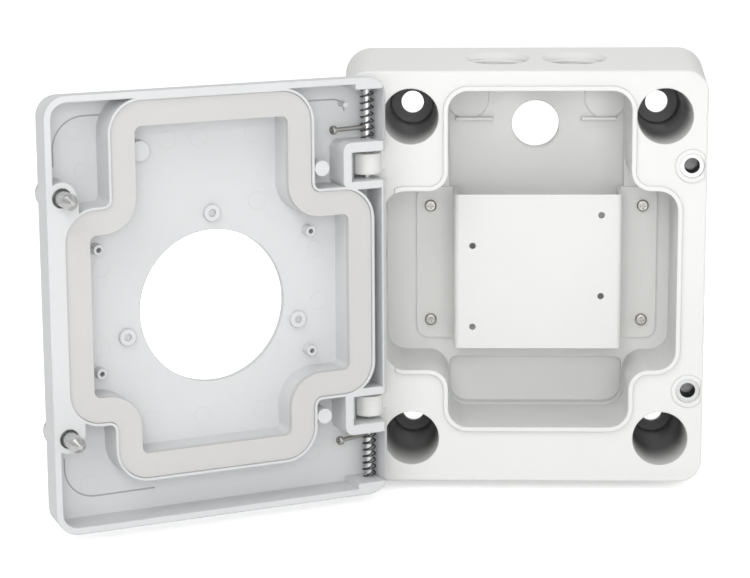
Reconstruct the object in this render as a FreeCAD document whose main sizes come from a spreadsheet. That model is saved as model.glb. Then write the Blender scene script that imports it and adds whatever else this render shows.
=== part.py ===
import FreeCAD
import Part
import Sketcher
import math
import os

os.makedirs("parts", exist_ok=True)
doc = FreeCAD.newDocument("CameraJunctionBox")
sheet = doc.addObject("Spreadsheet::Sheet", "Sizes")

# All lengths are millimetres. X is to the right, Y into the wall, Z up. The origin is the centre
# of the four wall bolts on the back face. "Level" is the distance out from the back face.
SIZES = {
    # housing casting
    "back_left": -88.4, "back_right": 78.7, "back_top": 99.6, "back_radius": 12.5,
    "front_left": -85.9, "front_right": 76.2, "front_top": 95.0, "front_radius": 10.0,
    "case_depth": 55.0, "case_rounding": 1.0, "floor_inset": 0.6,
    # cross-shaped cavity
    "arm_left": -40.2, "arm_right": 42.2, "arm_top": 86.1, "arm_bottom": -68.9,
    "wide_left": -68.8, "wide_right": 63.3, "wide_top": 40.8, "wide_bottom": -42.0,
    "cavity_radius": 9.0, "shelf_level": 13.0, "floor_level": 7.0,
    "shelf_top": 31.0, "shelf_bottom": -45.7, "step_radius": 3.0,
    "lip_wide": 2.1, "lip_high": 1.6,
    # wall bolts
    "bolt_across": 57.0, "bolt_up": 74.5, "bolt_radius": 5.25,
    "well_floor": 3.0, "well_mouth_radius": 12.6, "well_floor_radius": 9.8,
    # conduit entries and cable hole
    "entry_apart": 17.5, "entry_level": 27.0, "entry_radius": 13.2, "entry_flare": 3.9,
    "cable_x": 0.5, "cable_z": 64.6, "cable_radius": 11.05,
    # lid screw bosses, inserts and the screws that stay in the lid
    "screw_x": 69.4, "screw_z": 52.0, "ring_radius": 7.6, "ring_high": 0.5, "ring_edge": 75.0,
    "insert_radius": 5.5, "insert_sunk": 2.0, "insert_long": 12.0, "insert_hole": 3.5,
    "shank_radius": 3.4, "tip_long": 3.5, "tip_flat": 0.9, "screw_out": 15.0,
    "head_radius": 6.0, "head_high": 3.6, "head_sink": 4.0, "head_room": 6.5,
    "lid_bore": 4.2, "lid_bore_deep": 12.5, "lid_bore_web": 3.6,
    "seal_inner": 3.7, "seal_outer": 5.4, "seal_high": 1.2,
    "clip_radius": 4.0, "clip_depth": 1.0, "clip_thick": 1.0,
    # hinge
    "hinge_x": -76.25, "hinge_level": 65.8, "knuckle_radius": 6.2, "knuckle_low": 50.8,
    "knuckle_high": 60.0, "neck_left": 1.0, "neck_flare": 1.8,
    "pin_radius": 1.6, "pin_hole": 1.65, "pin_low": 47.0, "pin_high": 93.0,
    "pull_upper": 71.6, "pull_lower": 69.2, "pull_long": 19.5, "pull_radius": 1.0,
    "pull_head": 2.0, "pull_head_long": 1.8,
    "coil_radius": 2.85, "wire_radius": 0.36, "coil_pitch": 3.05,
    # lid casting, drawn shut
    "lid_gap": 0.8, "lid_thick": 18.0, "lid_skin": 2.8, "lid_left": -81.65, "lid_draft": 1.2,
    "lid_left_draft": 0.3, "lid_radius": 10.0, "lid_rounding": 4.5, "rim_wall": 3.0,
    "hinge_wall": 2.9, "pocket_wall": 1.5, "rim_corner": 7.0, "edge_cut": 2.3,
    "rib_offset": 6.2, "groove_offset": 5.0, "gasket_offset": 4.85,
    "groove_inner": 6.6, "gasket_inner": 6.05, "gasket_thick": 3.0, "gasket_sunk": 0.9,
    "frame_radius": 4.0,
    "camera_x": -3.2, "camera_z": -3.6, "camera_radius": 34.0,
    "frame_low": 45.3, "slot_low": 48.9, "slot_high": 61.9, "frame_high": 66.5,
    "slot_wide": 12.0, "frame_wall": 4.0, "end_block": 89.6, "end_block_wide": 9.85,
    "slot_clear": 6.6, "slot_past": 1.4, "land_left": 62.0, "screw_boss": 8.3,
    "boss_reach": 41.5,
    # bent sheet bracket
    "sheet": 1.5, "plate_level": 37.4, "plate_left": -37.5, "plate_right": 39.7,
    "bracket_high": 36.1, "flange_left": -55.0, "flange_right": 57.3, "flange_corner": 5.75,
    "bend_radius": 2.5, "plate_hole": 1.5, "flange_hole": 1.75,
    "bracket_screw_across": 49.5, "bracket_screw_mid": 1.0, "bracket_screw_up": 27.2,
    "small_shank": 1.45, "small_hole": 1.5, "small_head": 2.8, "small_head_high": 2.0,
    "small_screw_long": 8.0,
}


class Size:
    """A number together with the spreadsheet expression that gives it."""

    def __init__(self, value, text):
        self.value = value
        self.text = text

    def __add__(self, other):
        other = size(other)
        return Size(self.value + other.value, "(%s + %s)" % (self.text, other.text))

    def __sub__(self, other):
        other = size(other)
        return Size(self.value - other.value, "(%s - %s)" % (self.text, other.text))

    def __mul__(self, other):
        other = size(other)
        return Size(self.value * other.value, "(%s * %s)" % (self.text, other.text))

    def __truediv__(self, other):
        other = size(other)
        return Size(self.value / other.value, "(%s / %s)" % (self.text, other.text))

    def __neg__(self):
        return Size(-self.value, "(0 - %s)" % self.text)


def size(value):
    if isinstance(value, Size):
        return value
    return Size(float(value), "%s" % value)


def number(value):
    return size(value).value


row = 0
for alias, amount in SIZES.items():
    row += 1
    sheet.set("A%d" % row, alias)
    sheet.set("B%d" % row, "%g" % amount)
    sheet.setAlias("B%d" % row, alias)
doc.recompute()
S = {alias: Size(amount, "Sizes." + alias) for alias, amount in SIZES.items()}

RIM = S["case_depth"] + S["lid_gap"]
OUTER = RIM + S["lid_thick"]
SKIN = OUTER - S["lid_skin"]
SWING = 152.7
PLANE_Z = "XY_Plane"
PLANE_Y = "XZ_Plane"


def new_body(name):
    body = doc.addObject("PartDesign::Body", name)
    body.Label = name
    return body


def attach(feature, body, role, lift, across=None, up=None):
    plane = [item for item in body.Origin.OriginFeatures if item.Role == role][0]
    feature.AttachmentSupport = [(plane, "")]
    feature.MapMode = "FlatFace"
    for axis, amount in (("x", across), ("y", up), ("z", lift)):
        if amount is not None:
            feature.setExpression("AttachmentOffset.Base." + axis, size(amount).text)


def new_sketch(body, name, role, lift):
    sketch = body.newObject("Sketcher::SketchObject", name)
    attach(sketch, body, role, lift)
    return sketch


def bind(sketch, kind, item, point, amount):
    if point is None:
        index = sketch.addConstraint(Sketcher.Constraint(kind, item, number(amount)))
    else:
        index = sketch.addConstraint(Sketcher.Constraint(kind, item, point, number(amount)))
    sketch.setExpression("Constraints[%d]" % index, size(amount).text)


def circle(sketch, x, y, radius):
    centre = FreeCAD.Vector(number(x), number(y), 0)
    shape = Part.Circle(centre, FreeCAD.Vector(0, 0, 1), number(radius))
    item = sketch.addGeometry(shape, False)
    bind(sketch, "DistanceX", item, 3, x)
    bind(sketch, "DistanceY", item, 3, y)
    bind(sketch, "Radius", item, None, radius)


def corner_points(sides):
    points = []
    for index, (kind, amount) in enumerate(sides):
        following = sides[(index + 1) % len(sides)][1]
        if kind == "x":
            points.append(FreeCAD.Vector(number(amount), number(following), 0))
        else:
            points.append(FreeCAD.Vector(number(following), number(amount), 0))
    return points


def square_loop(sketch, sides, radii):
    """Closed outline of upright and level sides, each corner sharp or rounded."""
    count = len(sides)
    corners = corner_points(sides)
    lines = []
    for index, (kind, amount) in enumerate(sides):
        before = corners[index - 1]
        after = corners[index]
        along = (after - before).normalize()
        start = before + along * number(radii[index - 1] or 0)
        finish = after - along * number(radii[index] or 0)
        item = sketch.addGeometry(Part.LineSegment(start, finish), False)
        sketch.addConstraint(Sketcher.Constraint("Vertical" if kind == "x" else "Horizontal", item))
        lines.append((item, start, finish, along))
    for index in range(count):
        item, start, finish, along = lines[index]
        other, other_start, other_finish, other_along = lines[(index + 1) % count]
        if radii[index] is None:
            sketch.addConstraint(Sketcher.Constraint("Coincident", item, 2, other, 1))
            continue
        radius = number(radii[index])
        centre = finish + other_along * radius
        first = math.atan2(finish.y - centre.y, finish.x - centre.x)
        last = math.atan2(other_start.y - centre.y, other_start.x - centre.x)
        left_turn = along.cross(other_along).z > 0
        if not left_turn:
            first, last = last, first
        ring = Part.Circle(centre, FreeCAD.Vector(0, 0, 1), radius)
        arc = sketch.addGeometry(Part.ArcOfCircle(ring, first, last), False)
        near, far = (1, 2) if left_turn else (2, 1)
        sketch.addConstraint(Sketcher.Constraint("Tangent", item, 2, arc, near))
        sketch.addConstraint(Sketcher.Constraint("Tangent", other, 1, arc, far))
        bind(sketch, "Radius", arc, None, radii[index])
    for index, (kind, amount) in enumerate(sides):
        bind(sketch, "DistanceX" if kind == "x" else "DistanceY", lines[index][0], 1, amount)


def polygon(sketch, points):
    """Closed straight-sided outline through the points."""
    items = []
    for first, second in zip(points, points[1:] + points[:1]):
        start = FreeCAD.Vector(number(first[0]), number(first[1]), 0)
        finish = FreeCAD.Vector(number(second[0]), number(second[1]), 0)
        items.append(sketch.addGeometry(Part.LineSegment(start, finish), False))
    for index, item in enumerate(items):
        following = items[(index + 1) % len(items)]
        sketch.addConstraint(Sketcher.Constraint("Coincident", item, 2, following, 1))
        bind(sketch, "DistanceX", item, 1, points[index][0])
        bind(sketch, "DistanceY", item, 1, points[index][1])


def rectangle(sketch, left, right, low, high, radius=None):
    sides = [("x", left), ("y", high), ("x", right), ("y", low)]
    square_loop(sketch, sides, [radius] * 4)


def cross_loop(sketch, offset):
    """Outline of the cavity mouth grown by the offset."""
    grow = size(offset)
    outside = S["cavity_radius"] + grow
    inside = S["cavity_radius"] - grow
    left, right = S["arm_left"] - grow, S["arm_right"] + grow
    wide_left, wide_right = S["wide_left"] - grow, S["wide_right"] + grow
    top, bottom = S["arm_top"] + grow, S["arm_bottom"] - grow
    wide_top, wide_bottom = S["wide_top"] + grow, S["wide_bottom"] - grow
    sides = [("x", left), ("y", top), ("x", right), ("y", wide_top), ("x", wide_right),
             ("y", wide_bottom), ("x", right), ("y", bottom), ("x", left),
             ("y", wide_bottom), ("x", wide_left), ("y", wide_top)]
    radii = [outside, outside, inside, outside, outside, inside,
             outside, outside, inside, outside, outside, inside]
    square_loop(sketch, sides, radii)


def extrude(body, kind, sketch, length, backwards=False):
    feature = body.newObject("PartDesign::" + kind, sketch.Name + kind)
    feature.Profile = sketch
    feature.setExpression("Length", size(length).text)
    feature.Reversed = backwards
    feature.Refine = False
    sketch.Visibility = False
    return feature


def pad(body, name, role, lift, length, draw, backwards=False):
    sketch = new_sketch(body, name, role, lift)
    draw(sketch)
    return extrude(body, "Pad", sketch, length, backwards)


def pocket(body, name, role, lift, length, draw, backwards=False):
    sketch = new_sketch(body, name, role, lift)
    draw(sketch)
    return extrude(body, "Pocket", sketch, length, backwards)


def loft(body, kind, name, sections):
    feature = body.newObject("PartDesign::" + kind, name)
    feature.Profile = sections[0]
    feature.Sections = sections[1:]
    feature.Ruled = True
    feature.Refine = False
    return feature


def round_edges(body, name, radius, wanted, kind="Fillet"):
    """Round those edges of the body's tip that the test picks."""
    doc.recompute()
    tip = body.Tip
    names = ["Edge%d" % (index + 1) for index, edge in enumerate(tip.Shape.Edges) if wanted(edge)]
    feature = body.newObject("PartDesign::" + kind, name)
    feature.Base = (tip, names)
    feature.setExpression("Radius" if kind == "Fillet" else "Size", size(radius).text)
    return feature


def taper(feature, inset, length):
    """Lean the sides of a pad or pocket inwards by the inset over its length."""
    feature.setExpression("TaperAngle", "-atan(%s / %s)" % (size(inset).text, size(length).text))


def at_level(edge, level, low=0.01):
    box = edge.BoundBox
    return abs(box.YMin + number(level)) < low and abs(box.YMax + number(level)) < low


def cylinder(body, kind, name, role, lift, across, up, radius, length):
    feature = body.newObject("PartDesign::%sCylinder" % kind, name)
    attach(feature, body, role, lift, across, up)
    feature.Refine = False
    feature.setExpression("Radius", size(radius).text)
    feature.setExpression("Height", size(length).text)
    return feature


def swing_open(body):
    pivot = FreeCAD.Vector(number(S["hinge_x"]), -number(S["hinge_level"]), 0)
    turn = FreeCAD.Rotation(FreeCAD.Vector(0, 0, 1), -SWING)
    opening = FreeCAD.Placement(FreeCAD.Vector(0, 0, 0), turn, pivot)
    body.Placement = opening.multiply(body.Placement)


def housing():
    body = new_body("housing")
    back = new_sketch(body, "BackOutline", PLANE_Y, 0)
    rectangle(back, S["back_left"], S["back_right"], -S["back_top"], S["back_top"],
              S["back_radius"])
    front = new_sketch(body, "FrontOutline", PLANE_Y, S["case_depth"])
    rectangle(front, S["front_left"], S["front_right"], -S["front_top"], S["front_top"],
              S["front_radius"])
    loft(body, "AdditiveLoft", "CaseBlock", [back, front])
    round_edges(body, "CaseRounding", S["case_rounding"],
                lambda edge: at_level(edge, S["case_depth"]))
    pad(body, "Lip", PLANE_Y, S["case_depth"], S["lip_high"],
        lambda sketch: cross_loop(sketch, S["lip_wide"]))
    lip_level = S["case_depth"] + S["lip_high"]
    pocket(body, "Cavity", PLANE_Y, lip_level, lip_level - S["shelf_level"],
           lambda sketch: cross_loop(sketch, 0))
    inset = S["floor_inset"]
    drop = S["shelf_level"] - S["floor_level"]
    inner = S["cavity_radius"] - inset
    step = S["step_radius"]

    def upper(sketch):
        sides = [("x", S["arm_left"] + inset), ("y", S["arm_top"] - inset),
                 ("x", S["arm_right"] - inset), ("y", S["shelf_top"])]
        square_loop(sketch, sides, [inner, inner, step, step])

    def lower(sketch):
        sides = [("x", S["arm_left"] + inset), ("y", S["shelf_bottom"]),
                 ("x", S["arm_right"] - inset), ("y", S["arm_bottom"] + inset)]
        square_loop(sketch, sides, [step, step, inner, inner])

    pocket(body, "UpperFloor", PLANE_Y, S["shelf_level"], drop, upper)
    pocket(body, "LowerFloor", PLANE_Y, S["shelf_level"], drop, lower)
    corners = [(side, way) for side in (-1, 1) for way in (-1, 1)]

    def wells(sketch):
        for side, way in corners:
            circle(sketch, S["bolt_across"] * side, S["bolt_up"] * way, S["well_mouth_radius"])

    deep = S["case_depth"] - S["well_floor"]
    cut = pocket(body, "Wells", PLANE_Y, S["case_depth"], deep, wells)
    taper(cut, S["well_mouth_radius"] - S["well_floor_radius"], deep)

    def bolts(sketch):
        for side, way in corners:
            circle(sketch, S["bolt_across"] * side, S["bolt_up"] * way, S["bolt_radius"])

    pocket(body, "BoltHoles", PLANE_Y, S["well_floor"] + 1, S["well_floor"] + 2, bolts)
    pocket(body, "CableHole", PLANE_Y, S["floor_level"] + 1, S["floor_level"] + 2,
           lambda sketch: circle(sketch, S["cable_x"], S["cable_z"], S["cable_radius"]))
    entries(body)
    bosses(body)
    knuckles(body)
    return body


def entries(body):
    """Two conduit threads in the top face and two in the hinge side."""
    def pair(sketch, upright, radius):
        for side in (-1, 1):
            apart = S["entry_apart"] * side
            across, up = (-S["entry_level"], apart) if upright else (apart, -S["entry_level"])
            circle(sketch, across, up, radius)

    flare = S["entry_flare"]
    for upright, role, face, reach in ((False, PLANE_Z, S["back_top"], 17),
                                       (True, "YZ_Plane", S["back_left"], 24)):
        name = "Side" if upright else "Top"
        lift = face - 1 if upright else face + 0.15
        pocket(body, name + "Entries", role, lift, reach,
               lambda sketch: pair(sketch, upright, S["entry_radius"]), upright)
        cut = pocket(body, name + "Mouths", role, lift, flare,
                     lambda sketch: pair(sketch, upright, S["entry_radius"] + flare), upright)
        taper(cut, flare + 0.3, flare)


def bosses(body):
    """Screw bosses beside the cavity, ribs and pads on the cavity floor, bracket screw holes."""
    reach = S["ring_edge"] - S["screw_x"]
    ring_top = S["case_depth"] + S["ring_high"]

    def rings(sketch):
        radius = number(S["ring_radius"])
        angle = math.acos(number(reach) / radius)
        for way in (-1, 1):
            middle = FreeCAD.Vector(number(S["screw_x"]), number(S["screw_z"] * way), 0)
            base = Part.Circle(middle, FreeCAD.Vector(0, 0, 1), radius)
            arc = sketch.addGeometry(Part.ArcOfCircle(base, angle, 2 * math.pi - angle), False)
            start = middle + FreeCAD.Vector(number(reach), radius * math.sin(angle), 0)
            finish = middle + FreeCAD.Vector(number(reach), -radius * math.sin(angle), 0)
            line = sketch.addGeometry(Part.LineSegment(finish, start), False)
            sketch.addConstraint(Sketcher.Constraint("Coincident", arc, 1, line, 2))
            sketch.addConstraint(Sketcher.Constraint("Coincident", arc, 2, line, 1))
            sketch.addConstraint(Sketcher.Constraint("Vertical", line))
            bind(sketch, "DistanceX", arc, 3, S["screw_x"])
            bind(sketch, "DistanceY", arc, 3, S["screw_z"] * way)
            bind(sketch, "Radius", arc, None, S["ring_radius"])
            bind(sketch, "DistanceX", line, 1, S["ring_edge"])

    def screw_pair(radius):
        def draw(sketch):
            for way in (-1, 1):
                circle(sketch, S["screw_x"], S["screw_z"] * way, radius)
        return draw

    pad(body, "ScrewRings", PLANE_Y, S["case_depth"], S["ring_high"], rings)
    deep = S["insert_sunk"] + S["insert_long"]
    pocket(body, "InsertBores", PLANE_Y, ring_top + 1, deep + 1, screw_pair(S["insert_radius"]))
    pocket(body, "TipRooms", PLANE_Y, ring_top + 1, deep + 4, screw_pair(S["insert_hole"] + 0.3))

    def ribs(sketch):
        rectangle(sketch, -36.9, -19.4, 66.6, 68.1)
        rectangle(sketch, 21.8, 38.2, 66.6, 68.1)

    pad(body, "Ribs", PLANE_Y, S["floor_level"] - 1, 4.5, ribs)

    def pads(sketch):
        for across in (S["arm_left"] + 9, S["arm_right"] - 9):
            circle(sketch, across, S["arm_top"] - 9, 9.9)

    pad(body, "CornerPads", PLANE_Y, S["floor_level"] - 1, 1.7, pads)

    def small_holes(sketch):
        for side in (-1, 1):
            for way in (-1, 1):
                circle(sketch, S["bracket_screw_mid"] + S["bracket_screw_across"] * side,
                       S["bracket_screw_up"] * way, S["small_hole"])

    pocket(body, "BracketHoles", PLANE_Y, S["shelf_level"] + 1, 9.5, small_holes)


def knuckles(body):
    """Two hinge barrels on necks that stand on the front face."""
    x = S["hinge_x"]
    level = S["hinge_level"]
    high = S["knuckle_high"]
    low = S["knuckle_low"]
    cylinder(body, "Additive", "Barrels", PLANE_Z, -high, x, -level, S["knuckle_radius"], high * 2)
    left, right = x - S["neck_left"], x + S["knuckle_radius"]
    foot = size(1) - S["case_depth"]

    def neck(sketch):
        sides = [("x", left), ("y", foot), ("x", right), ("y", -level)]
        square_loop(sketch, sides, [None] * 4)

    pad(body, "Necks", PLANE_Z, -high, high * 2, neck)

    def flare(sketch):
        reach = S["neck_flare"]
        points = [(right - 1, foot), (right + reach, foot), (right + reach, -S["case_depth"]),
                  (right, -S["case_depth"] - reach), (right - 1, -S["case_depth"] - reach)]
        polygon(sketch, points)

    pad(body, "Flares", PLANE_Z, -high, high * 2, flare)
    between = S["case_depth"]
    pocket(body, "BetweenKnuckles", PLANE_Y, between, 30,
           lambda sketch: rectangle(sketch, x - 8, x + 12, -low, low), True)
    cylinder(body, "Subtractive", "BarrelHole", PLANE_Z, -high - 1, x, -level, S["pin_hole"],
             high * 2 + 2)


def lid():
    body = new_body("lid")
    rim = new_sketch(body, "RimOutline", PLANE_Y, RIM)
    rectangle(rim, S["lid_left"], S["front_right"], -S["front_top"], S["front_top"],
              S["lid_radius"])
    face = new_sketch(body, "FaceOutline", PLANE_Y, OUTER)
    draft = S["lid_draft"]
    rectangle(face, S["lid_left"] + S["lid_left_draft"], S["front_right"] - draft,
              draft - S["front_top"], S["front_top"] - draft, S["lid_radius"] - draft)
    loft(body, "AdditiveLoft", "LidBlock", [rim, face])
    round_edges(body, "LidRounding", S["lid_rounding"], lambda edge: at_level(edge, OUTER))
    deep = S["lid_thick"] - S["lid_skin"]
    inner_left = S["lid_left"] + S["hinge_wall"]
    inner_right = S["front_right"] - S["rim_wall"]
    inner_top = S["front_top"] - S["rim_wall"]
    pocket(body, "Hollow", PLANE_Y, RIM, deep,
           lambda sketch: rectangle(sketch, inner_left, inner_right, -inner_top, inner_top,
                                    S["rim_corner"]), True)
    rise = deep + 0.5
    pad(body, "GasketWall", PLANE_Y, RIM, rise,
        lambda sketch: cross_loop(sketch, S["rib_offset"]))
    x = S["hinge_x"]

    def frames(sketch):
        for way in (-1, 1):
            low, high = sorted((S["frame_low"] * way, S["frame_high"] * way), key=number)
            rectangle(sketch, inner_left - 2.4, x + S["slot_wide"] + S["frame_wall"], low, high,
                      S["frame_radius"])
            low, high = sorted((S["end_block"] * way, (inner_top + 0.5) * way), key=number)
            rectangle(sketch, inner_left - 0.5, x + S["end_block_wide"], low, high)

    def rounds(sketch):
        for way in (-1, 1):
            circle(sketch, S["screw_x"], S["screw_z"] * way, S["screw_boss"] - 1.6)
            circle(sketch, -50, size(56) * way, 3.5)

    pad(body, "HingeFrames", PLANE_Y, RIM, rise, frames)
    pad(body, "Rounds", PLANE_Y, RIM, rise, rounds)
    pad(body, "Land", PLANE_Y, RIM, rise,
        lambda sketch: rectangle(sketch, S["land_left"], inner_right + 0.5, -S["screw_z"],
                                 S["screw_z"]))
    pocket(body, "CentreHollow", PLANE_Y, RIM, deep,
           lambda sketch: cross_loop(sketch, -S["rib_offset"]), True)

    def groove(sketch):
        cross_loop(sketch, S["groove_offset"])
        cross_loop(sketch, -S["groove_inner"])

    pocket(body, "GasketGroove", PLANE_Y, RIM, S["gasket_sunk"] + S["gasket_thick"], groove, True)
    pocket(body, "CameraHole", PLANE_Y, SKIN - 1, S["lid_skin"] + 3,
           lambda sketch: circle(sketch, S["camera_x"], S["camera_z"], S["camera_radius"]), True)
    lid_details(body)
    lid_hinge_cuts(body)
    swing_open(body)
    return body


def lid_details(body):
    """Bosses on the lid's inner floor and the bores for the lid screws."""
    large = []
    for angle in (90, -14, 194):
        turn = math.radians(angle)
        large.append((S["camera_x"] + S["boss_reach"] * math.cos(turn),
                      S["camera_z"] + S["boss_reach"] * math.sin(turn)))
    small = [(S["bracket_screw_mid"] + S["bracket_screw_across"] * side,
              S["bracket_screw_up"] * way - 0.6) for side in (-1, 1) for way in (-1, 1)]
    screws = [(S["screw_x"], S["screw_z"] * way) for way in (-1, 1)]

    def rings(places, radius):
        def draw(sketch):
            for across, up in places:
                circle(sketch, across, up, radius)
        return draw

    for name, places, high, radius, hole, hole_deep in (
            ("LargeBosses", large, 2.0, 3.8, 1.6, 1.4), ("SmallBosses", small, 5.5, 2.4, 1.1, 5.0),
            ("DiscBoss", [(31, 68)], 6.0, 4.5, 0, 0),
            ("LatchPeg", [(S["hinge_x"] + 10.45, 81.9)], 5.7, 1.3, 0, 0)):
        pad(body, name, PLANE_Y, SKIN - high, size(high) + 0.5, rings(places, radius), False)
        if hole:
            pocket(body, name + "Holes", PLANE_Y, SKIN - high - 0.5, size(hole_deep) + 0.5,
                   rings(places, hole), True)
    pocket(body, "LidBores", PLANE_Y, RIM - 1, S["lid_bore_deep"] + 1,
           rings(screws, S["lid_bore"]), True)
    pocket(body, "LidWebs", PLANE_Y, RIM - 1, S["lid_thick"] + 2,
           rings(screws, S["lid_bore_web"]), True)
    pocket(body, "HeadSinks", PLANE_Y, OUTER - S["head_sink"], S["head_sink"] + 1,
           rings(screws, S["head_room"]), True)


def lid_hinge_cuts(body):
    """Slots for the knuckles, rooms for the pins and the bore they slide in."""
    x = S["hinge_x"]
    level = S["hinge_level"]
    beyond = S["lid_left"] - 2

    def both(left, right, low, high):
        def draw(sketch):
            rectangle(sketch, left, right, low, high)
            rectangle(sketch, left, right, -high, -low)
        return draw

    low, high = S["slot_low"], S["slot_high"]
    pocket(body, "KnuckleSlots", PLANE_Y, RIM - 1, level - RIM + 1,
           both(beyond, x + S["slot_wide"], low, high), True)
    for name, start in (("BarrelRoomUpper", low), ("BarrelRoomLower", -high)):
        cylinder(body, "Subtractive", name, PLANE_Z, start, x, -level, S["slot_clear"],
                 high - low)
    pocket(body, "NeckRooms", PLANE_Y, RIM - 1, S["lid_thick"] + 2,
           both(beyond, x + S["slot_past"], low, high), True)
    pocket(body, "PinRooms", PLANE_Y, RIM - 1, S["lid_thick"] - S["lid_skin"] + 1,
           both(S["lid_left"] + S["pocket_wall"], x + 4, S["frame_high"], S["end_block"]), True)
    reach = S["front_top"] + 2
    cylinder(body, "Subtractive", "PinBore", PLANE_Z, -reach, x, -level, S["pin_hole"], reach * 2)

    def edge(sketch):
        left = S["lid_left"] - 1
        points = [(left, -(RIM - 1)), (S["lid_left"] + S["edge_cut"] + 1, -(RIM - 1)),
                  (left, -(RIM + S["edge_cut"] + 1))]
        polygon(sketch, points)

    reach = S["front_top"] + 1
    pocket(body, "HingeEdgeCut", PLANE_Z, reach, reach * 2, edge)


def gasket():
    body = new_body("lid_gasket")

    def ring(sketch):
        cross_loop(sketch, S["gasket_offset"])
        cross_loop(sketch, -S["gasket_inner"])

    pad(body, "Foam", PLANE_Y, RIM + S["gasket_sunk"], S["gasket_thick"], ring)
    swing_open(body)
    return body


def bracket():
    body = new_body("bracket_plate")
    shelf = S["shelf_level"]
    sheet_thick = S["sheet"]
    plate = S["plate_level"]

    def hat(sketch):
        sides = [("x", S["flange_left"]), ("y", -shelf - sheet_thick), ("x", S["plate_left"]),
                 ("y", -plate), ("x", S["plate_right"]), ("y", -shelf - sheet_thick),
                 ("x", S["flange_right"]), ("y", -shelf), ("x", S["plate_right"] - sheet_thick),
                 ("y", sheet_thick - plate), ("x", S["plate_left"] + sheet_thick), ("y", -shelf)]
        outer = S["bend_radius"]
        inner = outer - sheet_thick
        radii = [None, inner, outer, outer, inner, None, None, outer, inner, inner, outer, None]
        square_loop(sketch, sides, radii)

    pad(body, "Hat", PLANE_Z, -S["bracket_high"], S["bracket_high"] * 2, hat)
    edges = (number(S["flange_left"]), number(S["flange_right"]))
    top = number(S["bracket_high"])

    def flange_corner(edge):
        box = edge.BoundBox
        upright = box.YLength > 1 and box.XLength < 0.01 and box.ZLength < 0.01
        return upright and min(abs(box.XMin - value) for value in edges) < 0.01 \
            and abs(abs(box.ZMin) - top) < 0.01

    round_edges(body, "FlangeCorners", S["flange_corner"], flange_corner)

    def plate_holes(sketch):
        for across, up in ((-29, 12.2), (-29, -25.9), (30.1, 26.5), (30.1, -11.4)):
            circle(sketch, across, up, S["plate_hole"])

    def flange_holes(sketch):
        for side in (-1, 1):
            for way in (-1, 1):
                circle(sketch, S["bracket_screw_mid"] + S["bracket_screw_across"] * side,
                       S["bracket_screw_up"] * way, S["flange_hole"])

    pocket(body, "PlateHoles", PLANE_Y, plate + 1, sheet_thick + 2, plate_holes)
    pocket(body, "FlangeHoles", PLANE_Y, shelf + sheet_thick + 1, sheet_thick + 1.8, flange_holes)
    return body


def cross_recess(body, name, lift, across, up, reach, wide, deep):
    """Cross-shaped driver recess sunk from the given level."""
    for index, (half_x, half_y) in enumerate(((reach, wide), (wide, reach))):
        pocket(body, "%s%d" % (name, index), PLANE_Y, lift, deep,
               lambda sketch: rectangle(sketch, size(across) - half_x, size(across) + half_x,
                                        size(up) - half_y, size(up) + half_y))


def bracket_screw(name, side, way):
    body = new_body(name)
    across = S["bracket_screw_mid"] + S["bracket_screw_across"] * side
    up = S["bracket_screw_up"] * way
    seat = S["shelf_level"] + S["sheet"]
    cylinder(body, "Additive", "Shank", PLANE_Y, seat - S["small_screw_long"], across, up,
             S["small_shank"], S["small_screw_long"])
    cylinder(body, "Additive", "Head", PLANE_Y, seat, across, up, S["small_head"],
             S["small_head_high"])
    top = seat + S["small_head_high"]
    round_edges(body, "HeadRounding", 0.9, lambda edge: at_level(edge, top))
    cross_recess(body, "Recess", top, across, up, 1.35, 0.32, 1.1)
    return body


def insert(name, way):
    body = new_body(name)
    top = S["case_depth"] + S["ring_high"] - S["insert_sunk"]
    bottom = top - S["insert_long"]
    cylinder(body, "Additive", "Sleeve", PLANE_Y, bottom, S["screw_x"], S["screw_z"] * way,
             S["insert_radius"], S["insert_long"])
    cylinder(body, "Subtractive", "Thread", PLANE_Y, bottom - 1, S["screw_x"],
             S["screw_z"] * way, S["insert_hole"], S["insert_long"] + 2)
    return body


def captive_screw(name, way):
    body = new_body(name)
    across, up = S["screw_x"], S["screw_z"] * way
    seat = OUTER - S["head_sink"] + S["seal_high"]
    tip = RIM - S["screw_out"]
    cylinder(body, "Additive", "Shank", PLANE_Y, tip + S["tip_long"], across, up,
             S["shank_radius"], seat - tip - S["tip_long"])
    point = body.newObject("PartDesign::AdditiveCone", "Tip")
    attach(point, body, PLANE_Y, tip, across, up)
    point.setExpression("Radius1", S["tip_flat"].text)
    point.setExpression("Radius2", S["shank_radius"].text)
    point.setExpression("Height", S["tip_long"].text)
    cylinder(body, "Additive", "Head", PLANE_Y, seat, across, up, S["head_radius"],
             S["head_high"])
    top = seat + S["head_high"]
    round_edges(body, "HeadRounding", 0.7, lambda edge: at_level(edge, top))
    clip = RIM + S["clip_depth"]
    gap = 0.05

    def neck(sketch):
        circle(sketch, across, up, S["shank_radius"] + 1)
        circle(sketch, across, up, S["shank_radius"] - 0.6)

    pocket(body, "ClipGroove", PLANE_Y, clip - gap, S["clip_thick"] + 2 * gap, neck, True)

    def hexagon(sketch):
        reach = 2.9
        points = []
        for step in range(6):
            angle = math.radians(60 * step)
            points.append((across + reach * math.cos(angle), up + reach * math.sin(angle)))
        polygon(sketch, points)

    pocket(body, "Socket", PLANE_Y, top, 2.4, hexagon)
    swing_open(body)
    return body


def washer(name, way, low, high, inner, outer):
    body = new_body(name)
    across, up = S["screw_x"], S["screw_z"] * way

    def ring(sketch):
        circle(sketch, across, up, outer)
        circle(sketch, across, up, inner)

    pad(body, "Ring", PLANE_Y, low, high - low, ring)
    swing_open(body)
    return body


def screw_seal(name, way):
    seat = OUTER - S["head_sink"]
    return washer(name, way, seat, seat + S["seal_high"], S["seal_inner"], S["seal_outer"])


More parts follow.
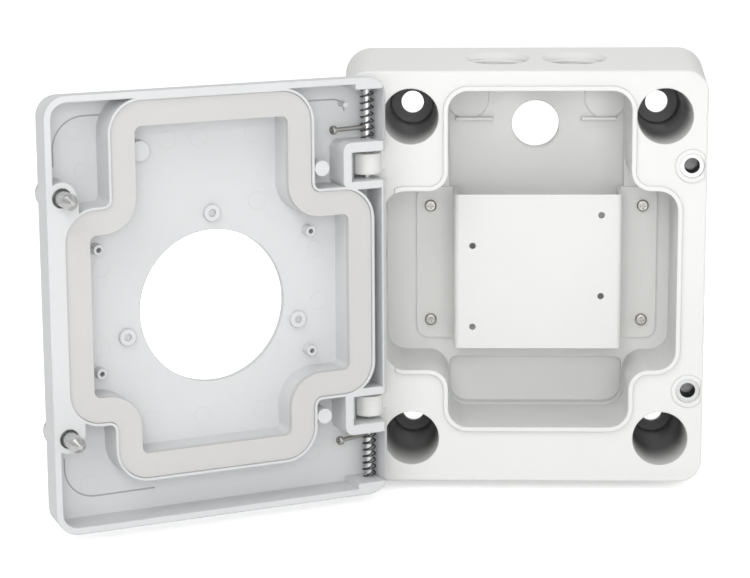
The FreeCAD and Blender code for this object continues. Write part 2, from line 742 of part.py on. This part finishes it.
def retaining_clip(name, way):
    low = RIM + S["clip_depth"]
    return washer(name, way, low, low + S["clip_thick"], S["shank_radius"] - 0.5,
                  S["clip_radius"])


def tilted(shape, angle, way, height):
    """Turn a shape drawn along X about the pin's axis towards the rim and move it to its place."""
    shape.rotate(FreeCAD.Vector(0, 0, 0), FreeCAD.Vector(0, 0, 1), angle)
    shape.translate(FreeCAD.Vector(number(S["hinge_x"]), -number(S["hinge_level"]), height * way))
    return shape


def hinge_pin(name, way, pull_height, angle):
    body = new_body(name)
    x, level = S["hinge_x"], S["hinge_level"]
    start = S["pin_low"] if way > 0 else -S["pin_high"]
    cylinder(body, "Additive", "Rod", PLANE_Z, start, x, -level, S["pin_radius"],
             S["pin_high"] - S["pin_low"])
    ends = (number(S["pin_low"]), number(S["pin_high"]))
    round_edges(body, "RodEnds", 0.5,
                lambda edge: min(abs(abs(edge.BoundBox.ZMin) - end) for end in ends) < 0.01
                and edge.BoundBox.ZLength < 0.01, "Chamfer")
    hole = body.newObject("PartDesign::SubtractiveCylinder", "CrossHole")
    attach(hole, body, "YZ_Plane", x, -level, pull_height * way)
    hole.setExpression("Radius", (S["pull_radius"] + 0.05).text)
    hole.Height = 10
    hole.AttachmentOffset = FreeCAD.Placement(
        hole.AttachmentOffset.Base, FreeCAD.Rotation(FreeCAD.Vector(0, 1, 0), angle))
    swing_open(body)
    return body


def pull_screw(name, way, pull_height, angle):
    """Small screw that stands across the pin; its far end is a handle."""
    long = number(S["pull_long"])
    radius = number(S["pull_radius"])
    head = number(S["pull_head"])
    head_long = number(S["pull_head_long"])
    along = FreeCAD.Vector(1, 0, 0)
    shank = Part.makeCylinder(radius, long - head_long, FreeCAD.Vector(0.1, 0, 0), along)
    cap = Part.makeCylinder(head, head_long, FreeCAD.Vector(long - head_long, 0, 0), along)
    rims = [edge for edge in cap.Edges if abs(edge.BoundBox.XMax - long) < 0.01
            and edge.BoundBox.XLength < 0.01]
    cap = cap.makeFillet(0.6, rims)
    shape = shank.fuse(cap)
    for wide, tall in ((1.0, 0.3), (0.3, 1.0)):
        slot = Part.makeBox(1.0, 2 * wide, 2 * tall, FreeCAD.Vector(long - 0.9, -wide, -tall))
        shape = shape.cut(slot)
    shape = tilted(shape.removeSplitter(), angle, way, number(pull_height))
    feature = doc.addObject("Part::Feature", name)
    feature.Label = name
    feature.Shape = shape
    swing_open(feature)
    return feature


def spring(name, way):
    body = new_body(name)
    margin = 0.05
    turns_high = S["end_block"] - S["frame_high"] - S["wire_radius"] * 2 - margin * 2
    middle = S["frame_high"] + S["wire_radius"] + margin
    start = middle if way > 0 else -(middle + turns_high)
    sketch = body.newObject("Sketcher::SketchObject", "Wire")
    attach(sketch, body, PLANE_Y, 0)
    reach = number(S["coil_radius"])
    radius = number(S["wire_radius"])
    points = []
    for step in range(6):
        angle = math.radians(60 * step + 30)
        points.append(FreeCAD.Vector(reach + radius * math.cos(angle), radius * math.sin(angle), 0))
    items = [sketch.addGeometry(Part.LineSegment(first, second), False)
             for first, second in zip(points, points[1:] + points[:1])]
    for index, item in enumerate(items):
        following = items[(index + 1) % 6]
        sketch.addConstraint(Sketcher.Constraint("Coincident", item, 2, following, 1))
    helix = body.newObject("PartDesign::AdditiveHelix", "Coil")
    helix.Profile = sketch
    helix.ReferenceAxis = (sketch, ["V_Axis"])
    helix.Mode = "pitch-height-angle"
    helix.setExpression("Pitch", S["coil_pitch"].text)
    helix.setExpression("Height", turns_high.text)
    body.Placement.Base = FreeCAD.Vector(number(S["hinge_x"]), -number(S["hinge_level"]),
                                         number(start))
    swing_open(body)
    return body


def export(bodies):
    doc.recompute()
    for body in bodies:
        for feature in getattr(body, "Group", []) + [body]:
            if "Invalid" in feature.State or "Error" in feature.State:
                raise RuntimeError("feature not built: %s %s" % (body.Label, feature.Label))
        shape = body.Shape
        if shape.isNull() or not shape.isValid() or len(shape.Solids) != 1:
            raise RuntimeError("not one sound solid: %s" % body.Label)
        shape.exportStep("parts/%s.step" % body.Label)


made = [housing(), lid(), gasket(), bracket()]
number_in_row = 0
for side in (-1, 1):
    for way in (1, -1):
        number_in_row += 1
        made.append(bracket_screw("bracket_screw_%d" % number_in_row, side, way))
for word, way, pull_height, angle in (("upper", 1, S["pull_upper"], 12.0),
                                      ("lower", -1, S["pull_lower"], 20.0)):
    made.append(insert("insert_" + word, way))
    made.append(captive_screw("captive_screw_" + word, way))
    made.append(screw_seal("screw_seal_" + word, way))
    made.append(retaining_clip("retaining_clip_" + word, way))
    made.append(hinge_pin("hinge_pin_" + word, way, pull_height, angle))
    made.append(pull_screw("pull_screw_" + word, way, pull_height, angle))
    made.append(spring("hinge_spring_" + word, way))
export(made)
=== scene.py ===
import math

import bpy
from mathutils import Matrix, Vector


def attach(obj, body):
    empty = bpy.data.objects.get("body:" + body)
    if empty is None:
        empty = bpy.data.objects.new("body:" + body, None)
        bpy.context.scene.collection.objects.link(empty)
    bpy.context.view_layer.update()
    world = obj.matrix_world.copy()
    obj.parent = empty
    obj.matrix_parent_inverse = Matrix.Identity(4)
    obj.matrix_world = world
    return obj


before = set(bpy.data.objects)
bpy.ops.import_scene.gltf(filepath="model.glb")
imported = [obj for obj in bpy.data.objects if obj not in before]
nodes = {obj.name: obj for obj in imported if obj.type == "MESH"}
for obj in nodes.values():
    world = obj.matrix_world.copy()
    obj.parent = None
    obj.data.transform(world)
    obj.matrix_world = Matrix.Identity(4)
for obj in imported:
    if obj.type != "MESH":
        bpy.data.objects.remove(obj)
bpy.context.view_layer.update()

MM = 0.001

# Places and sizes of the solids that this scene adds detail to, in millimetres.
# A level is the distance of a plane from the back.
HINGE = Vector((-76.25, -65.8, 0.0)) * MM
SWING = math.radians(-152.7)
LID_FLOOR = 71.0
CAVITY_FLOOR = 7.0
CASE_DEPTH = 55.0
CASE_HALF_HEIGHT = 99.6
WELL_ACROSS, WELL_UP, WELL_RADIUS, WELL_FLOOR = 57.0, 74.5, 12.6, 3.0
ENTRY_APART, ENTRY_LEVEL, ENTRY_RADIUS = 17.5, 27.0, 13.2
TOP_THREAD_START, TOP_THREAD_LENGTH = 87.0, 8.4
SIDE_THREAD_START, SIDE_THREAD_LENGTH = -70.0, 15.5
SCREW_X, SCREW_Z, INSERT_BORE = 69.4, 52.0, 3.5
INSERT_FOOT_LEVEL, INSERT_THREAD_LENGTH = 42.4, 10.0
CABLE_X, CABLE_Z, CABLE_RADIUS = 0.5, 64.6, 11.05

OPENING = (Matrix.Translation(HINGE) @ Matrix.Rotation(SWING, 4, "Z")
           @ Matrix.Translation(-HINGE))


def shader(name, color, rough, metal=0.0, coat=0.0, specular=0.5):
    """Plain surface whose sockets later steps feed."""
    mat = bpy.data.materials.new(name)
    mat.use_nodes = True
    tree = mat.node_tree
    surface = tree.nodes["Principled BSDF"]
    surface.inputs["Base Color"].default_value = (*color, 1)
    surface.inputs["Roughness"].default_value = rough
    surface.inputs["Metallic"].default_value = metal
    surface.inputs["Coat Weight"].default_value = coat
    surface.inputs["Specular IOR Level"].default_value = specular
    return mat, tree, surface


def link(tree, source, target):
    """Join two sockets."""
    tree.links.new(source, target)


def noise(tree, scale, detail=4.0):
    """Noise factor in the node's own coordinates."""
    coords = tree.nodes.new("ShaderNodeTexCoord")
    node = tree.nodes.new("ShaderNodeTexNoise")
    node.inputs["Scale"].default_value = scale
    node.inputs["Detail"].default_value = detail
    node.inputs["Roughness"].default_value = 0.55
    link(tree, coords.outputs["Object"], node.inputs["Vector"])
    return node.outputs["Fac"]


def vary(tree, surface, socket, factor, low, high):
    """Feed a socket with a value or colour that runs between two ends."""
    ramp = tree.nodes.new("ShaderNodeMix")
    ramp.data_type = "RGBA" if socket == "Base Color" else "FLOAT"
    if socket == "Base Color":
        ramp.inputs[6].default_value = (*low, 1)
        ramp.inputs[7].default_value = (*high, 1)
        out = ramp.outputs[2]
    else:
        ramp.inputs[2].default_value = low
        ramp.inputs[3].default_value = high
        out = ramp.outputs[0]
    link(tree, factor, ramp.inputs[0])
    link(tree, out, surface.inputs[socket])
    return ramp


def relief(tree, surface, factor, depth, soften):
    """Fine surface relief over edges that are softened in the shading."""
    bump = tree.nodes.new("ShaderNodeBump")
    bump.inputs["Strength"].default_value = 1.0
    bump.inputs["Distance"].default_value = depth
    link(tree, factor, bump.inputs["Height"])
    if soften:
        bevel = tree.nodes.new("ShaderNodeBevel")
        bevel.samples = 6
        bevel.inputs["Radius"].default_value = soften
        link(tree, bevel.outputs["Normal"], bump.inputs["Normal"])
    link(tree, bump.outputs["Normal"], surface.inputs["Normal"])


def painted(name, color, rough, soften=0.9 * MM, grain=2200.0, depth=0.03 * MM, dark=0.93):
    """Coated casting: faint tone changes, fine grain and softly rounded edges."""
    mat, tree, surface = shader(name, color, rough, coat=0.05)
    cloud = noise(tree, 18.0)
    vary(tree, surface, "Base Color", cloud, tuple(c * dark for c in color), color)
    vary(tree, surface, "Roughness", noise(tree, 60.0), rough - 0.06, rough + 0.08)
    relief(tree, surface, noise(tree, grain, 2.0), depth, soften)
    return mat


def ramp_between(tree, source, start, end):
    """Value that runs from 0 at the start to 1 at the end."""
    ramp = tree.nodes.new("ShaderNodeMapRange")
    ramp.inputs["From Min"].default_value = start
    ramp.inputs["From Max"].default_value = end
    link(tree, source, ramp.inputs["Value"])
    return ramp.outputs[0]


def product(tree, first, second):
    """Product of two values."""
    both = tree.nodes.new("ShaderNodeMath")
    both.operation = "MULTIPLY"
    link(tree, first, both.inputs[0])
    link(tree, second, both.inputs[1])
    return both.outputs[0]


def shade_and_bare_metal_in_wells(mat, dark):
    """Painted shade down the walls of the four bolt wells, over rough uncoated metal on their
    floors, by distance from their axes and by depth.
    """
    tree = mat.node_tree
    surface = tree.nodes["Principled BSDF"]
    coat = surface.inputs["Base Color"].links[0].from_socket
    place = tree.nodes.new("ShaderNodeNewGeometry").outputs["Position"]
    split = tree.nodes.new("ShaderNodeSeparateXYZ")
    link(tree, place, split.inputs[0])
    fold = tree.nodes.new("ShaderNodeCombineXYZ")
    for source, target in (("X", "X"), ("Z", "Y")):
        size = tree.nodes.new("ShaderNodeMath")
        size.operation = "ABSOLUTE"
        link(tree, split.outputs[source], size.inputs[0])
        link(tree, size.outputs[0], fold.inputs[target])
    away = tree.nodes.new("ShaderNodeVectorMath")
    away.operation = "DISTANCE"
    away.inputs[1].default_value = (WELL_ACROSS * MM, WELL_UP * MM, 0)
    link(tree, fold.outputs[0], away.inputs[0])
    reach = (WELL_RADIUS + 0.2) * MM
    near = ramp_between(tree, away.outputs["Value"], reach, reach - 0.4 * MM)
    front = ramp_between(tree, split.outputs["Y"], -1.0 * MM, (0.5 - WELL_FLOOR) * MM)
    # Painted shade: the colour darkens from the front face down into each well.
    deep = ramp_between(tree, split.outputs["Y"], (2.0 - CASE_DEPTH) * MM, -32.0 * MM)
    both = product(tree, product(tree, near, front), deep)
    mix = tree.nodes.new("ShaderNodeMix")
    mix.data_type = "RGBA"
    mix.inputs[7].default_value = (*dark, 1)
    link(tree, both, mix.inputs[0])
    link(tree, coat, mix.inputs[6])
    link(tree, mix.outputs[2], surface.inputs["Base Color"])


def metal(name, color, rough, grain=900.0, depth=0.01 * MM, soften=0.2 * MM):
    """Bare metal with faint mottling."""
    mat, tree, surface = shader(name, color, rough, metal=1.0)
    cloud = noise(tree, 160.0)
    vary(tree, surface, "Base Color", cloud, tuple(c * 0.82 for c in color), color)
    vary(tree, surface, "Roughness", noise(tree, 400.0), rough * 0.8, rough * 1.3)
    relief(tree, surface, noise(tree, grain), depth, soften)
    return mat


def foam(name, color):
    """Matt foam or rubber with a fine open grain."""
    mat, tree, surface = shader(name, color, 0.9, specular=0.15)
    cloud = noise(tree, 70.0)
    vary(tree, surface, "Base Color", cloud, tuple(c * 0.96 for c in color), color)
    vary(tree, surface, "Roughness", noise(tree, 300.0), 0.82, 0.97)
    relief(tree, surface, noise(tree, 3200.0, 3.0), 0.06 * MM, 0.3 * MM)
    return mat


MATS = {
    "case": painted("case_coat", (0.715, 0.72, 0.705), 0.42),
    # The lid's coat is a darker grey than the case's: painted shade over the lid's hollow inside.
    "lid": painted("lid_coat_painted_shade", (0.63, 0.64, 0.645), 0.5),
    "plate": painted("plate_coat", (0.70, 0.70, 0.685), 0.36, 0.3 * MM, 900.0, 0.01 * MM),
    "foam": foam("foam_grey", (0.56, 0.555, 0.545)),
    "steel": metal("plated_steel", (0.46, 0.45, 0.42), 0.32),
    "stainless": metal("stainless", (0.62, 0.62, 0.61), 0.26),
    "pin": metal("bright_pin", (0.86, 0.86, 0.87), 0.12, 300.0, 0.004 * MM),
    "spring": metal("spring_steel", (0.14, 0.14, 0.14), 0.34),
    "insert": metal("insert_steel", (0.66, 0.67, 0.67), 0.38),
    # Dark grey on the raised lid lines: painted shade of a fine groove.
    "line": painted("lid_line_groove_shade", (0.36, 0.37, 0.38), 0.6),
    # Near-black thread in the insert bores: painted shade inside the bore.
    "bore": metal("insert_thread_bore_shade", (0.1, 0.1, 0.1), 0.45),
    "rubber": foam("seal_rubber", (0.03, 0.03, 0.03)),
}

# Near-black grey: painted shade on the bolt well walls, bare metal on their floors.
shade_and_bare_metal_in_wells(MATS["case"], (0.13, 0.13, 0.13))

FINISH = {
    "housing": "case", "lid": "lid", "lid_gasket": "foam", "bracket_plate": "plate",
    "insert": "insert", "captive_screw": "stainless", "screw_seal": "rubber",
    "retaining_clip": "spring", "hinge_pin": "pin", "pull_screw": "steel",
    "hinge_spring": "spring", "bracket_screw": "steel",
}


def finish_of(name):
    """Material key of a node, by its name or by its name without the last word."""
    if name in FINISH:
        return FINISH[name]
    return FINISH[name.rsplit("_", 1)[0]]


for node_name, item in nodes.items():
    mat = MATS[finish_of(node_name)]
    if not item.material_slots:
        item.data.materials.append(mat)
    for place in item.material_slots:
        place.material = mat


def mesh_piece(name, verts, faces, mat, body):
    """Piece that rides on a body, smooth but for its sharp edges."""
    data = bpy.data.meshes.new(name)
    data.from_pydata([tuple(v) for v in verts], [], faces)
    data.update()
    piece = bpy.data.objects.new(name, data)
    bpy.context.scene.collection.objects.link(piece)
    data.materials.append(mat)
    data.polygons.foreach_set("use_smooth", [True] * len(data.polygons))
    data.set_sharp_from_angle(angle=math.radians(35))
    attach(piece, body)
    return piece


def lathe(profile, place, steps=64):
    """Rings of points from (radius, height) pairs, turned into faces."""
    verts = []
    for radius, height in profile:
        for step in range(steps):
            angle = 2 * math.pi * step / steps
            point = Vector((radius * math.cos(angle), radius * math.sin(angle), height))
            verts.append(place @ (point * MM))
    faces = []
    for ring in range(len(profile) - 1):
        for step in range(steps):
            after = (step + 1) % steps
            faces.append((ring * steps + step, ring * steps + after,
                          (ring + 1) * steps + after, (ring + 1) * steps + step))
    return verts, faces


def helix_thread(major, minor, pitch, length, place, steps=72):
    """Inside thread: one zigzag wall that climbs as it turns."""
    verts, faces = [], []
    turns = int(length / pitch)
    count = turns * steps
    for step in range(count + 1):
        angle = 2 * math.pi * step / steps
        base = pitch * step / steps
        for radius, lift in ((major, 0.0), (minor, 0.42 * pitch), (minor, 0.55 * pitch),
                             (major, 0.98 * pitch)):
            point = Vector((radius * math.cos(angle), radius * math.sin(angle), base + lift))
            verts.append(place @ (point * MM))
    for step in range(count):
        for part in range(3):
            low = step * 4 + part
            faces.append((low, low + 1, low + 5, low + 4))
    return verts, faces


def facing(origin, direction):
    """Matrix whose Z runs along the direction."""
    turn = direction.to_track_quat("Z", "Y").to_matrix().to_4x4()
    return Matrix.Translation(Vector(origin) * MM) @ turn


# Thread crest and root radius, and pitch.
THREAD = (ENTRY_RADIUS - 0.03, ENTRY_RADIUS - 0.85, 1.81)
INSERT_THREAD = (INSERT_BORE - 0.02, INSERT_BORE - 0.08, 0.9)
UPWARD, TO_HINGE_SIDE, TO_FRONT = Vector((0, 0, 1)), Vector((-1, 0, 0)), Vector((0, -1, 0))

for label, across in (("left", -ENTRY_APART), ("right", ENTRY_APART)):
    place = facing((across, -ENTRY_LEVEL, TOP_THREAD_START), UPWARD)
    verts, faces = helix_thread(*THREAD, TOP_THREAD_LENGTH, place)
    mesh_piece("thread_top_" + label, verts, faces, MATS["case"], "housing")

for label, lift in (("upper", ENTRY_APART), ("lower", -ENTRY_APART)):
    place = facing((SIDE_THREAD_START, -ENTRY_LEVEL, lift), TO_HINGE_SIDE)
    verts, faces = helix_thread(*THREAD, SIDE_THREAD_LENGTH, place)
    mesh_piece("thread_side_" + label, verts, faces, MATS["case"], "housing")

for label, way in (("upper", 1), ("lower", -1)):
    place = facing((SCREW_X, -INSERT_FOOT_LEVEL, SCREW_Z * way), TO_FRONT)
    verts, faces = helix_thread(*INSERT_THREAD, INSERT_THREAD_LENGTH, place, 40)
    # Near-black thread: painted shade inside each insert bore.
    mesh_piece("insert_thread_" + label, verts, faces, MATS["bore"], "housing")


def closed_place(across, level, up):
    """Matrix at a point of the lid as drawn shut, its Z out of the lid's inner floor."""
    turn = Vector((0, 1, 0)).to_track_quat("Z", "Y").to_matrix().to_4x4()
    return OPENING @ Matrix.Translation(Vector((across, -level, up)) * MM) @ turn


# Round marks that the ejector pins leave on the lid's inner floor: across, up and radius.
EJECTOR = [(57.6, 78.0, 4.2), (55.8, 60.9, 3.0), (16.1, 71.2, 4.0), (1.9, 71.3, 4.0),
           (-23.6, 71.6, 4.0), (-25.0, 41.4, 4.0), (-52.6, 17.4, 3.8), (-53.6, -6.4, 3.8),
           (48.2, 17.7, 3.8), (48.6, -17.6, 3.8), (26.9, -52.0, 3.8), (2.4, -52.8, 3.8),
           (-25.0, -53.0, 3.8), (56.2, -77.9, 4.0), (55.8, -63.2, 3.0), (-50.1, -76.9, 3.8)]
for index, (across, up, radius) in enumerate(EJECTOR):
    profile = [(radius - 0.28, -0.02), (radius - 0.14, 0.1), (radius + 0.14, 0.1),
               (radius + 0.28, -0.02)]
    verts, faces = lathe(profile, closed_place(across, LID_FLOOR, up), 48)
    mesh_piece("ejector_mark_%02d" % index, verts, faces, MATS["lid"], "lid")


def panel_line(name, path):
    """Fine raised line along a path of points on the lid's inner floor."""
    verts, faces = [], []
    for index, point in enumerate(path):
        before, after = path[max(index - 1, 0)], path[min(index + 1, len(path) - 1)]
        along = (Vector(after) - Vector(before)).normalized()
        for side, lift in ((-0.4, -0.03), (-0.25, 0.1), (0.25, 0.1), (0.4, -0.03)):
            spot = Vector(point) + Vector((-along.y, along.x)) * side
            verts.append(closed_place(spot.x, LID_FLOOR, spot.y) @ Vector((0, 0, lift * MM)))
    for index in range(len(path) - 1):
        for part in range(3):
            low = index * 4 + part
            faces.append((low, low + 1, low + 5, low + 4))
    mesh_piece(name, verts, faces, MATS["line"], "lid")


def quarter(centre, radius, start, steps=14):
    """Quarter turn of points from the start angle in degrees."""
    turn = [math.radians(start + 90.0 * step / steps) for step in range(steps + 1)]
    return [(centre[0] + radius * math.cos(a), centre[1] + radius * math.sin(a)) for a in turn]


# Fine lines of the lid's corner pockets, as paths of points across and up.
panel_line("panel_line_upper_left", [(68.0, 63.0)] + quarter((54.0, 70.0), 14.0, 0)
           + [(46.5, 84.0)])
panel_line("panel_line_upper_right", [(-48.0, 84.0)] + quarter((-62.0, 78.5), 5.5, 90))
panel_line("panel_line_lower_left", [(26.0, -83.0)] + quarter((53.5, -69.5), 13.7, 270)
           + [(67.2, -64.5)])


def ring_on(name, origin, direction, profile, mat, body, steps=64):
    """Turned ring at a point, its axis along the direction."""
    verts, faces = lathe(profile, facing(origin, direction), steps)
    return mesh_piece(name, verts, faces, mat, body)


ring_on("cable_hole_edge", (CABLE_X, -CAVITY_FLOOR, CABLE_Z), TO_FRONT,
        [(CABLE_RADIUS, -0.5), (CABLE_RADIUS, 0.12), (CABLE_RADIUS + 0.65, 0.12),
         (CABLE_RADIUS + 0.95, -0.05)], MATS["case"], "housing")
ring_on("floor_mark", (-20.0, -CAVITY_FLOOR, 80.0), TO_FRONT,
        [(5.3, -0.02), (5.42, 0.1), (5.58, 0.1), (5.7, -0.02)], MATS["case"], "housing")

# Stage: a pale floor with a soft studio sky that the camera sees as white.
FLOOR_Z = -CASE_HALF_HEIGHT * MM
FLOOR_REACH = 4.0
floor_corners = [(side * FLOOR_REACH, way * FLOOR_REACH, FLOOR_Z)
                 for side, way in ((-1, -1), (1, -1), (1, 1), (-1, 1))]
floor_data = bpy.data.meshes.new("floor")
floor_data.from_pydata(floor_corners, [], [(0, 1, 2, 3)])
floor = bpy.data.objects.new("floor", floor_data)
bpy.context.scene.collection.objects.link(floor)
floor_mat, floor_tree, floor_surface = shader("floor_white", (0.95, 0.95, 0.95), 0.9, specular=0.0)
floor_surface.inputs["Emission Color"].default_value = (1, 1, 1, 1)
path = floor_tree.nodes.new("ShaderNodeLightPath")
glow = floor_tree.nodes.new("ShaderNodeMath")
glow.operation = "MULTIPLY"
glow.inputs[1].default_value = 0.5
link(floor_tree, path.outputs["Is Camera Ray"], glow.inputs[0])
link(floor_tree, glow.outputs[0], floor_surface.inputs["Emission Strength"])
floor_data.materials.append(floor_mat)

world = bpy.data.worlds.new("studio")
bpy.context.scene.world = world
world.use_nodes = True
sky = world.node_tree
background = sky.nodes["Background"]
rays = sky.nodes.new("ShaderNodeLightPath")
level = sky.nodes.new("ShaderNodeMix")
level.data_type = "FLOAT"
level.inputs[2].default_value = 0.62
level.inputs[3].default_value = 1.05
link(sky, rays.outputs["Is Camera Ray"], level.inputs[0])
background.inputs["Color"].default_value = (1, 1, 1, 1)
link(sky, level.outputs[0], background.inputs["Strength"])


def area(name, place, aim, size, power):
    """Square area light at a place, turned to an aim."""
    data = bpy.data.lights.new(name, "AREA")
    data.shape = "RECTANGLE"
    data.size = size
    data.size_y = size
    data.energy = power
    light = bpy.data.objects.new(name, data)
    light.location = place
    light.rotation_euler = (Vector(aim) - Vector(place)).to_track_quat("-Z", "Y").to_euler()
    bpy.context.scene.collection.objects.link(light)


CENTRE = (-0.07, -0.05, 0.0)
area("key", (-0.5, -1.0, 1.2), CENTRE, 0.9, 7.5)
area("fill", (1.2, -0.9, 0.5), CENTRE, 1.0, 1.8)
area("back", (0.2, 0.8, 1.0), CENTRE, 0.8, 2.8)
area("front", (0.05, -1.35, 0.3), CENTRE, 0.7, 6.3)

# Camera fitted to the photograph's perspective, without lens shift.
FOCAL_PX = 2446.8
FRAME_WIDE_PX = 750.0
EYE = Vector((-35.5, -1145.1, 221.4)) * MM
RIGHT = Vector((0.99942, 0.0335, -0.00611)).normalized()
LOOK = Vector((-0.03405, 0.97864, -0.20273)).normalized()
UP = RIGHT.cross(LOOK).normalized()
camera_data = bpy.data.cameras.new("camera")
camera_data.sensor_width = 36.0
camera_data.lens = FOCAL_PX * 36.0 / FRAME_WIDE_PX
camera = bpy.data.objects.new("camera", camera_data)
camera.matrix_world = Matrix.Translation(EYE) @ Matrix((RIGHT, UP, -LOOK)).transposed().to_4x4()
bpy.context.scene.collection.objects.link(camera)
bpy.context.scene.camera = camera
bpy.context.scene.view_settings.view_transform = "Standard"
